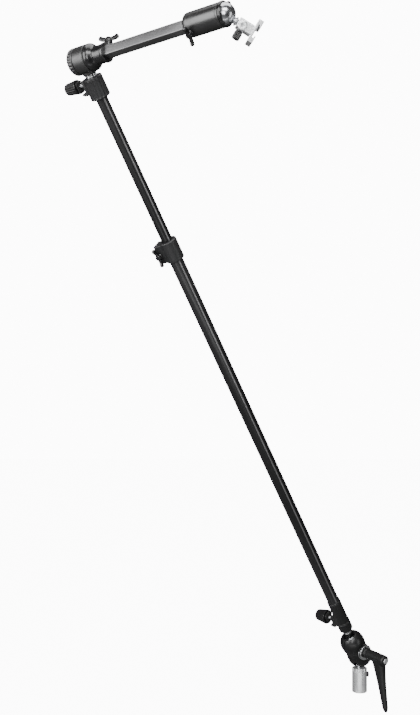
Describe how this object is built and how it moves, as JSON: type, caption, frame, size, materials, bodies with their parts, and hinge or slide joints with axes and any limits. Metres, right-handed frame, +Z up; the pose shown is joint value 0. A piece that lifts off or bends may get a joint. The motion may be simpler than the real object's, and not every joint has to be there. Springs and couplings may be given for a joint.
{
  "type": "reflector holder arm",
  "caption": "Telescopic reflector holder arm: stand socket, lever-locked double ball joint, rim clips, elbow and a square arm ending in a ball head with an accessory shoe.",
  "frame": {"origin": "centre of the mouth of the stand socket, on its bore axis", "axes": "+Z up along the socket bore; the pole leans towards -X and -Y; the lever is on the +X, -Y side"},
  "size_m": [0.5485, 0.7095, 1.1393],
  "materials": {
    "chrome": "polished nickel-chrome plating",
    "zinc": "bright zinc plating",
    "steel": "ground and polished steel",
    "gloss_black": "gloss black stove enamel on die casting",
    "anodised_black": "gloss black anodised tube",
    "satin_black": "satin charcoal powder coat",
    "arm_aluminium": "brushed grey anodised",
    "nylon_black": "moulded black nylon",
    "plastic_black": "moulded black plastic",
    "rubber": "matt",
    "ball_alloy": "polished"
  },
  "bodies": {
    "stand": {"stand_socket": "chrome", "ball_stem": "steel"},
    "set_screw": {"socket_set_screw": "gloss_black"},
    "lower_ball_body": {"lower_ball": "steel"},
    "lower_liner_body": {"lower_liner": "nylon_black"},
    "clamp_housing": {"clamp_shell_near": "gloss_black", "clamp_shell_far": "gloss_black", "clamp_bolt": "zinc", "clamp_washer_inner": "chrome", "clamp_washer_outer": "chrome", "clamp_spacer": "nylon_black"},
    "lever": {"clamp_lever": "satin_black"},
    "lever_release": {"lever_button": "zinc"},
    "upper_liner_body": {"upper_liner": "nylon_black"},
    "upper_ball_body": {"upper_ball": "steel"},
    "pole": {"pole_stud": "chrome", "bottom_cap": "plastic_black", "outer_tube": "anodised_black", "pole_collar": "nylon_black", "collar_nut": "zinc", "bottom_clip_fixed_pad": "rubber"},
    "bottom_jaw": {"bottom_clip_jaw": "nylon_black", "bottom_clip_moving_pad": "rubber"},
    "bottom_knob": {"bottom_clip_knob": "plastic_black", "bottom_clip_screw": "zinc"},
    "collar_wing": {"collar_wing_screw": "plastic_black"},
    "pole_extension": {"inner_tube": "anodised_black", "inner_tube_bush": "nylon_black", "top_cap": "plastic_black", "top_stud": "chrome", "stud_washer": "chrome", "top_clip_fixed_pad": "rubber"},
    "top_jaw": {"top_clip_jaw": "nylon_black", "top_clip_moving_pad": "rubber"},
    "top_knob": {"top_clip_knob": "plastic_black", "top_clip_screw": "zinc"},
    "elbow": {"elbow_drum": "satin_black", "roll_friction_disc": "nylon_black", "elbow_bolt": "zinc"},
    "elbow_clamp_knob": {"elbow_knob": "satin_black"},
    "sleeve": {"arm_sleeve": "gloss_black"},
    "sleeve_wing": {"sleeve_wing_screw": "plastic_black"},
    "arm": {"arm_tube": "arm_aluminium"},
    "head": {"head_housing": "gloss_black", "head_ring": "gloss_black"},
    "head_wing": {"housing_wing_screw": "plastic_black"},
    "ball_lock": {"ball_lock_wing_screw": "plastic_black"},
    "head_cup": {"ball_seat": "nylon_black"},
    "head_ball_body": {"head_ball": "ball_alloy"},
    "shoe": {"shoe_block": "chrome", "shoe_plate": "chrome"},
    "shoe_screw": {"shoe_thumb_screw": "plastic_black"}
  },
  "joints": [
    {"name": "set_screw_turn", "type": "hinge", "parent": "stand", "child": "set_screw", "pos_m": [0, 0, 0.034], "axis": [1, 0, 0], "range_deg": [-360, 360]},
    {"name": "lower_pan", "type": "hinge", "parent": "stand", "child": "lower_ball_body", "pos_m": [0, 0, 0.0715], "axis": [0, 0, 1], "continuous": true},
    {"name": "lower_tilt", "type": "hinge", "parent": "lower_ball_body", "child": "lower_liner_body", "pos_m": [0, 0, 0.0715], "axis": [0.742, -0.6704, 0], "range_deg": [-50, 45]},
    {"name": "lower_roll", "type": "hinge", "parent": "lower_liner_body", "child": "clamp_housing", "pos_m": [0, 0, 0.0715], "axis": [-0.4274, -0.473, 0.7705], "range_deg": [-4, 4]},
    {"name": "lever_turn", "type": "hinge", "parent": "clamp_housing", "child": "lever", "pos_m": [-0.00812, -0.00899, 0.08614], "axis": [0.632, -0.7657, -0.1194], "range_deg": [-110, 110]},
    {"name": "lever_button_press", "type": "slide", "parent": "lever", "child": "lever_release", "axis": [-0.632, 0.7657, 0.1194], "range_m": [0, 0.003], "stiffness_N_per_m": 400, "springref_m": -0.002},
    {"name": "upper_pan", "type": "hinge", "parent": "clamp_housing", "child": "upper_liner_body", "pos_m": [-0.01624, -0.01797, 0.10078], "axis": [-0.4274, -0.473, 0.7705], "continuous": true},
    {"name": "upper_tilt", "type": "hinge", "parent": "upper_liner_body", "child": "upper_ball_body", "pos_m": [-0.01624, -0.01797, 0.10078], "axis": [-0.6449, 0.7567, 0.1068], "range_deg": [-18, 9]},
    {"name": "pole_spin", "type": "hinge", "parent": "upper_ball_body", "child": "pole", "pos_m": [-0.01624, -0.01797, 0.10078], "axis": [-0.3802, -0.4389, 0.8141], "continuous": true},
    {"name": "bottom_jaw_slide", "type": "slide", "parent": "pole", "child": "bottom_jaw", "axis": [0.7086, -0.7039, -0.0486], "range_m": [-0.00201, 0.00601]},
    {"name": "bottom_knob_turn", "type": "hinge", "parent": "bottom_jaw", "child": "bottom_knob", "pos_m": [-0.03791, -0.04299, 0.14718], "axis": [0.7086, -0.7039, -0.0486], "range_deg": [-720, 2160]},
    {"name": "collar_wing_turn", "type": "hinge", "parent": "pole", "child": "collar_wing", "pos_m": [-0.3681, -0.40348, 0.80462], "axis": [-0.3702, -0.7344, -0.5688], "range_deg": [-180, 360]},
    {"name": "pole_slide", "type": "slide", "parent": "pole", "child": "pole_extension", "axis": [-0.3802, -0.4389, 0.8141], "range_m": [-0.235, 0.38]},
    {"name": "top_jaw_slide", "type": "slide", "parent": "pole_extension", "child": "top_jaw", "axis": [0.8342, -0.543, 0.0968], "range_m": [-0.00201, 0.00401]},
    {"name": "top_knob_turn", "type": "hinge", "parent": "top_jaw", "child": "top_knob", "pos_m": [-0.45652, -0.52625, 1.04353], "axis": [0.8342, -0.543, 0.0968], "range_deg": [-720, 1440]},
    {"name": "elbow_pan", "type": "hinge", "parent": "pole_extension", "child": "elbow", "pos_m": [-0.46945, -0.54117, 1.0712], "axis": [-0.3802, -0.4389, 0.8141], "continuous": true},
    {"name": "elbow_knob_turn", "type": "hinge", "parent": "elbow", "child": "elbow_clamp_knob", "pos_m": [-0.46945, -0.54117, 1.0712], "axis": [0.8342, -0.543, 0.0968], "range_deg": [-180, 540]},
    {"name": "arm_roll", "type": "hinge", "parent": "elbow", "child": "sleeve", "pos_m": [-0.46945, -0.54117, 1.0712], "axis": [0.8342, -0.543, 0.0968], "continuous": true},
    {"name": "sleeve_wing_turn", "type": "hinge", "parent": "sleeve", "child": "sleeve_wing", "pos_m": [-0.43213, -0.56244, 1.09003], "axis": [0.0137, 0.1959, 0.9805], "range_deg": [-180, 360]},
    {"name": "arm_slide", "type": "slide", "parent": "sleeve", "child": "arm", "axis": [0.8342, -0.543, 0.0968], "range_m": [0, 0.012]},
    {"name": "head_slide", "type": "slide", "parent": "arm", "child": "head", "axis": [0.8342, -0.543, 0.0968], "range_m": [0, 0.012]},
    {"name": "head_wing_turn", "type": "hinge", "parent": "head", "child": "head_wing", "pos_m": [-0.31646, -0.65164, 1.07537], "axis": [-0.228, -0.4994, -0.8359], "range_deg": [-180, 360]},
    {"name": "ball_lock_turn", "type": "hinge", "parent": "head", "child": "ball_lock", "pos_m": [-0.27847, -0.65401, 1.10661], "axis": [0.2454, 0.5226, 0.8165], "range_deg": [-180, 360]},
    {"name": "head_pan", "type": "hinge", "parent": "head", "child": "head_cup", "pos_m": [-0.27134, -0.67012, 1.09421], "axis": [0.8342, -0.543, 0.0968], "continuous": true},
    {"name": "head_tilt", "type": "hinge", "parent": "head_cup", "child": "head_ball_body", "pos_m": [-0.27134, -0.67012, 1.09421], "axis": [0.3196, 0.619, 0.7174], "range_deg": [-112, 5]},
    {"name": "shoe_turn", "type": "hinge", "parent": "head_ball_body", "child": "shoe", "pos_m": [-0.27134, -0.67012, 1.09421], "axis": [0.8575, 0.1332, -0.497], "continuous": true},
    {"name": "shoe_screw_turn", "type": "hinge", "parent": "shoe", "child": "shoe_screw", "pos_m": [-0.24733, -0.66639, 1.08029], "axis": [-0.5011, -0.0026, -0.8654], "range_deg": [-180, 720]}
  ],
  "couplings": [
    {"joint": "bottom_jaw_slide", "follows": "bottom_knob_turn", "m_per_rad": 0.00015915},
    {"joint": "top_jaw_slide", "follows": "top_knob_turn", "m_per_rad": 0.00015915}
  ]
}
